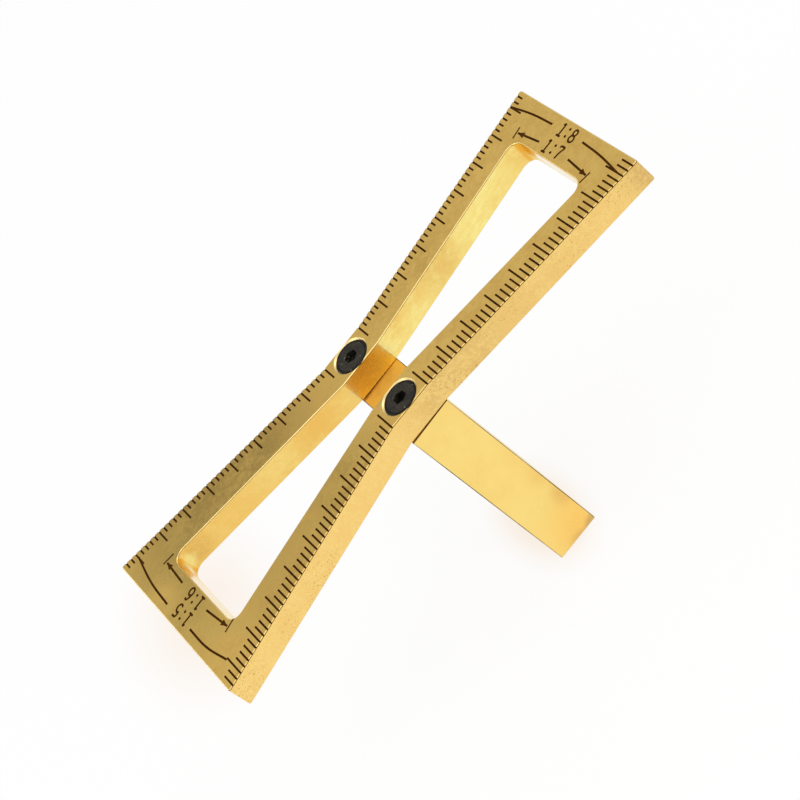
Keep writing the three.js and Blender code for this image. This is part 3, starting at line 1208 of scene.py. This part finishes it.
@dataclass
class FenceBar:
    """The fence block under the waist, with its two blind holes."""

    finishes: FinishSet
    thickness: float = 8.0
    width: float = 21.4
    height: float = 37.2
    rim: float = 0.1
    corner: float = 0.14
    bevel_steps: int = 2
    screw_y: float = 7.6
    hole_radius: float = 1.58
    hole_floor: float = 27.8
    hole_sides: int = 48
    mouth: float = 0.3
    drill_share: float = 0.6
    overrun: float = 1.0
    top_fall: float = 0.24
    smooth_angle: float = 12.0
    sharp_turn: float = 1.0
    top_tilt: float = 0.95
    wall_tilt: float = 0.05
    flat_tilt: float = 0.99

    def build(self) -> Object:
        """Builds and places the block.

        Returns:
            The piece.
        """
        finishes = self.finishes
        mesh = to_mesh(
            self._blank(), "bar_blank", finishes.bar, finishes.seam, finishes.bar_top,
            finishes.bar_rim_shade,
        )
        for side in (-1, 1):
            hole = to_mesh(self._hole(side * self.screw_y), "hole", finishes.wall)
            mesh = combine(mesh, hole)
        return place_piece(
            mesh, "fence_bar", Body.MARKER, "fence_block", self.smooth_angle
        )

    def _blank(self) -> BMesh:
        """Builds the block before it is drilled, its top falling a little toward one side.

        Returns:
            The closed block, its faces given their finishes.
        """
        bm = bmesh.new()
        size = Vector((self.thickness, self.width, self.height))
        place = Matrix.LocRotScale(Vector((0, 0, self.height / 2)), None, size)
        bmesh.ops.create_cube(bm, size=1.0, matrix=place)
        upright = [edge for edge in bm.edges if self._rise(edge) > self.rim]
        bevel(bm, upright, self.corner, self.bevel_steps)
        level = [
            edge for edge in bm.edges
            if self._rise(edge) < MERGE_DISTANCE and edge.calc_face_angle(0) > self.sharp_turn
        ]
        bevel(bm, level, self.rim, self.bevel_steps)
        for face in bm.faces:
            face.material_index = self._finish_index(face)
        # a cut through both holes' axes keeps each face that they break a plain outline
        bmesh.ops.bisect_plane(bm, geom=everything(bm), plane_co=(0, 0, 0), plane_no=(1, 0, 0))
        for vert in bm.verts:
            if vert.co.z > self.height / 2:
                vert.co.z -= self.top_fall * (0.5 - vert.co.x / self.thickness)
        return bm

    @staticmethod
    def _rise(edge: BMEdge) -> float:
        """Returns how far an edge rises from one end to the other."""
        return abs(edge.verts[0].co.z - edge.verts[1].co.z)

    def _finish_index(self, face: BMFace) -> BarPart:
        """Tells the finish of a face of the blank by its tilt.

        Args:
            face: The face.

        Returns:
            The place of its finish.
        """
        if face.normal.z > self.top_tilt:
            return BarPart.TOP
        # the top rim at the joint gets painted shade
        if face.normal.z > self.wall_tilt:
            return BarPart.SEAM
        # the rounded edges get a darker copy that carries painted shade
        is_rim = max(abs(part) for part in face.normal) < self.flat_tilt
        return BarPart.RIM_SHADE if is_rim else BarPart.BAR

    def _hole(self, y: float) -> BMesh:
        """Returns the cutter of the blind hole at Y, with a drilled point and a wider mouth."""
        profile = [
            (0, self.hole_floor - self.hole_radius * self.drill_share),
            (self.hole_radius, self.hole_floor),
            (self.hole_radius, self.height - self.mouth),
            (self.hole_radius + self.mouth + self.overrun, self.height + self.overrun),
            (0, self.height + self.overrun),
        ]
        return lathe(profile, self.hole_sides, (0, y))


@dataclass
class SocketScrew:
    """A countersunk hex socket screw with a rolled thread."""

    finishes: FinishSet
    y: float
    top: float = 41.8
    length: float = 12.0
    head_radius: float = 2.9
    land: float = 0.1
    rim_round: float = 0.2
    ring_radius: float = 2.53
    ring_width: float = 0.08
    shank_radius: float = 1.5
    core_radius: float = 1.22
    tip_edge: float = 0.15
    pitch: float = 0.5
    thread_start: float = 2.2
    thread_fade: float = 0.3
    thread_sink: float = 0.08
    root_share: float = 0.42
    crest_share: float = 0.07
    tip_chamfer: float = 0.4
    socket_flats: float = 2.0
    socket_depth: float = 1.2
    socket_overrun: float = 0.5
    flat_tilt: float = 0.9
    point_inset: float = 0.2
    point_depth: float = 0.35
    sides: int = 64
    turn_steps: int = 24

    def build(self, name: str, body: Body, node: str) -> Object:
        """Builds and places the screw.

        Args:
            name: The piece's name.
            body: The body that it rides on.
            node: The CAD node that it stands for.

        Returns:
            The piece.
        """
        turned = lathe(self._profile(), self.sides)
        for face in turned.faces:
            middle = face.calc_center_median()
            # faces on the head's outer rim take the blacker oxide: painted shade
            on_rim = middle.z > -self.rim_round - self.land and middle.xy.length > self.ring_radius
            face.material_index = int(on_rim)
        mesh = to_mesh(turned, "screw_blank", self.finishes.oxide, self.finishes.oxide_rim_shade)
        works = ((self._thread(), Combining.JOIN), (self._socket(), Combining.CUT))
        for tool, combining in works:
            mesh = combine(mesh, to_mesh(tool, "tool", self.finishes.oxide), combining)
        mesh.transform(Matrix.Translation((0, self.y, self.top)))
        return place_piece(mesh, name, body, node)

    def _profile(self) -> list[Pair]:
        """Returns the lathe profile with the head's top at zero, from the tip upward."""
        cone = self.head_radius - self.shank_radius
        soft = self.rim_round
        round_off = [
            (self.head_radius - soft + soft * math.sin(turn), -soft + soft * math.cos(turn))
            for turn in (math.radians(angle) for angle in (90, 67.5, 45, 22.5, 0))
        ]
        return [
            (0, -self.length),
            (self.core_radius - self.tip_edge, -self.length),
            (self.core_radius, self.tip_edge - self.length),
            (self.core_radius, -self.thread_start - self.thread_fade),
            (self.shank_radius, -self.thread_start),
            (self.shank_radius, -self.land - soft - cone),
            (self.head_radius, -self.land - soft),
            *round_off,
            (self.ring_radius + self.ring_width, 0),
            (self.ring_radius, -self.ring_width),
            (self.ring_radius - self.ring_width, 0),
            (0, 0),
        ]

    def _thread(self) -> BMesh:
        """Returns the thread as one closed helical ridge."""
        bm = bmesh.new()
        root, crest = self.core_radius - self.thread_sink, self.shank_radius
        half, flat = self.pitch * self.root_share, self.pitch * self.crest_share
        low = self.tip_chamfer + half - self.length
        section = [(root, low - half), (crest, low - flat), (crest, low + flat), (root, low + half)]
        verts = [bm.verts.new((radius, 0, z)) for radius, z in section]
        face = bm.faces.new(verts)
        turns = int((self.length - self.thread_start - self.tip_chamfer - 2 * half) / self.pitch)
        bmesh.ops.spin(
            bm, geom=[face, *face.edges, *face.verts], cent=(0, 0, 0), axis=(0, 0, 1),
            dvec=(0, 0, self.pitch / self.turn_steps), angle=FULL_TURN * turns,
            steps=turns * self.turn_steps, use_merge=False,
        )
        bmesh.ops.holes_fill(bm, edges=[edge for edge in bm.edges if edge.is_boundary])
        bmesh.ops.triangulate(bm, faces=bm.faces)
        return bm

    def _socket(self) -> BMesh:
        """Returns the hexagonal cutter with a drilled point below it."""
        bm = bmesh.new()
        corner = self.socket_flats / 2 / math.cos(math.pi / 6)
        middle = (self.socket_overrun - self.socket_depth) / 2
        bmesh.ops.create_cone(
            bm, cap_ends=True, segments=6, radius1=corner, radius2=corner,
            depth=self.socket_depth + self.socket_overrun,
            matrix=Matrix.Translation((0, 0, middle)),
        )
        floor = [face for face in bm.faces if face.normal.z < -self.flat_tilt]
        bmesh.ops.inset_region(bm, faces=floor, thickness=corner * self.point_inset)
        point = bmesh.ops.poke(bm, faces=floor)
        bmesh.ops.translate(bm, verts=point["verts"], vec=(0, 0, -self.point_depth))
        return bm


@dataclass(frozen=True)
class FloorShade:
    """A faint warm shade painted into the floor's colour, where the brass's shadow and bounce light
    would fall.
    """

    centre: Pair
    reach: Pair
    share: float
    core: float = 0.1

    def mask(self, graph: Graph, place: object) -> NodeSocket:
        """Masks the shade, full in the middle and gone at its reach.

        Args:
            graph: The graph of the floor's material.
            place: The place on the floor.

        Returns:
            The mask's socket.
        """
        (x, y), (wide, long) = self.centre, self.reach
        moved = graph.vector("SUBTRACT", place, (x * MM, y * MM, 0)).outputs[0]
        shrunk = graph.vector("DIVIDE", moved, (wide * MM, long * MM, 1)).outputs[0]
        length = graph.vector("LENGTH", shrunk).outputs["Value"]
        return graph.span(length, self.core, 1.0, self.share, 0.0)


@dataclass(frozen=True)
class Station:
    """A place round the object: degrees round and up, 0 round being the -Y side, and distance."""

    azimuth: float
    elevation: float
    distance: float
    roll: float = 0.0

    def stand(self, data: bpy.types.ID, aim: Triple) -> Object:
        """Puts a camera or lamp in the place.

        Args:
            data: The camera or lamp.
            aim: What it looks at.

        Returns:
            Its object.
        """
        turn, rise = math.radians(self.azimuth), math.radians(self.elevation)
        level = math.cos(rise)
        back = Vector((math.sin(turn) * level, -math.cos(turn) * level, math.sin(rise)))
        facing = (-back).to_track_quat("-Z", "Y")
        holder = bpy.data.objects.new(data.name, data)
        bpy.context.scene.collection.objects.link(holder)
        holder.location = (Vector(aim) + back * self.distance) * MM
        holder.rotation_mode = "QUATERNION"
        holder.rotation_quaternion = facing @ Quaternion((0, 0, 1), math.radians(self.roll))
        return holder


@dataclass(frozen=True)
class Softbox:
    """A square softbox that faces the plate."""

    name: str
    station: Station
    size: float
    watts: float

    def hang(self, aim: Triple) -> None:
        """Hangs the lamp.

        Args:
            aim: What it faces.
        """
        lamp = bpy.data.lights.new(self.name, "AREA")
        lamp.shape = "SQUARE"
        lamp.size = self.size * MM
        lamp.energy = self.watts
        self.station.stand(lamp, aim)


@dataclass
class Studio:
    """Pale floor, soft light and the camera of the photograph."""

    aim: Triple = (-0.264, -8.199, 41.9)
    station: Station = Station(1.372, 38.411, 373.59, -52.066)
    lens: float = 117.39
    sensor: float = 36.0
    clip: Pair = (0.01, 50.0)
    sky: float = 0.65
    floor_size: float = 15.0
    floor_white: float = 0.88
    white: Colour = (1, 1, 1, 1)
    # the tone of the shades painted into the floor's colour
    warm: Colour = (0.95, 0.80, 0.66, 1)
    # faint shades painted into the floor's colour, one beyond the steep end and one round the foot
    shades: tuple[FloorShade, ...] = (
        FloorShade((-51.0, 50.0), (21.0, 30.0), 0.5),
        FloorShade((-1.0, -1.0), (9.0, 17.5), 0.8),
    )
    lamps: tuple[Softbox, ...] = (
        Softbox("softbox_over_camera", Station(-8, 54, 620), size=420, watts=0.4),
        Softbox("softbox_left", Station(-95, 40, 600), size=300, watts=0.6),
        Softbox("softbox_right", Station(95, 40, 600), size=300, watts=0.6),
        Softbox("softbox_low_front", Station(8, 13, 700), size=600, watts=1.3),
        Softbox("softbox_far_left", Station(-141, 6, 700), size=260, watts=0.35),
    )

    def build(self) -> None:
        """Sets up everything that isn't the object."""
        bpy.context.scene.view_settings.view_transform = "Standard"
        self._camera()
        self._world()
        self._floor()
        for lamp in self.lamps:
            lamp.hang(self.aim)
        log.info("studio ready")

    def _camera(self) -> None:
        """Stands the camera where the photograph was taken from."""
        camera = bpy.data.cameras.new("camera")
        camera.lens = self.lens
        camera.sensor_width = self.sensor
        camera.clip_start, camera.clip_end = self.clip
        bpy.context.scene.camera = self.station.stand(camera, self.aim)

    def _world(self) -> None:
        """Sets a plain pale grey world."""
        world = bpy.data.worlds.new("studio")
        world.use_nodes = True
        sky = world.node_tree.nodes["Background"]
        sky.inputs["Color"].default_value = self.white
        sky.inputs["Strength"].default_value = self.sky
        bpy.context.scene.world = world

    def _floor(self) -> None:
        """Lays a white floor that keeps the object's shadow, carries faint painted shades and is
        open from below.
        """
        surface = Surface("floor_white")
        graph, nodes = surface.graph, surface.material.node_tree.nodes
        nodes.remove(surface.shader)
        tone = self.white
        # painted shade: the floor's colour turns warm within each shade
        for shade in self.shades:
            tone = graph.mix(shade.mask(graph, surface.place), tone, self.warm)
        card = graph.add("BsdfDiffuse", None, Color=tone).outputs[0]
        glow = graph.add("Emission", None, Color=tone, Strength=1.0).outputs[0]
        rays = graph.add("LightPath").outputs
        seen = graph.math("MAXIMUM", rays["Is Camera Ray"], rays["Is Glossy Ray"])
        seen = graph.math("MAXIMUM", seen, rays["Is Transmission Ray"])
        share = graph.times(seen, self.floor_white)
        lit = graph.fill("MixShader", {}, share, card, glow).outputs[0]
        under = graph.add("NewGeometry").outputs["Backfacing"]
        clear = graph.add("BsdfTransparent").outputs[0]
        both = graph.fill("MixShader", {}, under, lit, clear).outputs[0]
        graph.plug(nodes["Material Output"], "Surface", both)
        bm = bmesh.new()
        bmesh.ops.create_grid(bm, x_segments=1, y_segments=1, size=self.floor_size)
        floor = bpy.data.objects.new("floor", to_mesh(bm, "floor", surface.material))
        bpy.context.scene.collection.objects.link(floor)


def main() -> None:
    """Builds the marker and its studio, in order."""
    logging.basicConfig(level=logging.INFO, format="%(message)s")
    finishes = FinishSet()
    Studio().build()
    plate = EngravedPlate(finishes)
    plate.build()
    FenceBar(finishes).build()
    near = SocketScrew(finishes, -plate.screw_y)
    near.build("near_socket_screw", Body.NEAR_SCREW, "near_screw")
    far = SocketScrew(finishes, plate.screw_y)
    far.build("far_socket_screw", Body.FAR_SCREW, "far_screw")


if __name__ == "__main__":
    main()
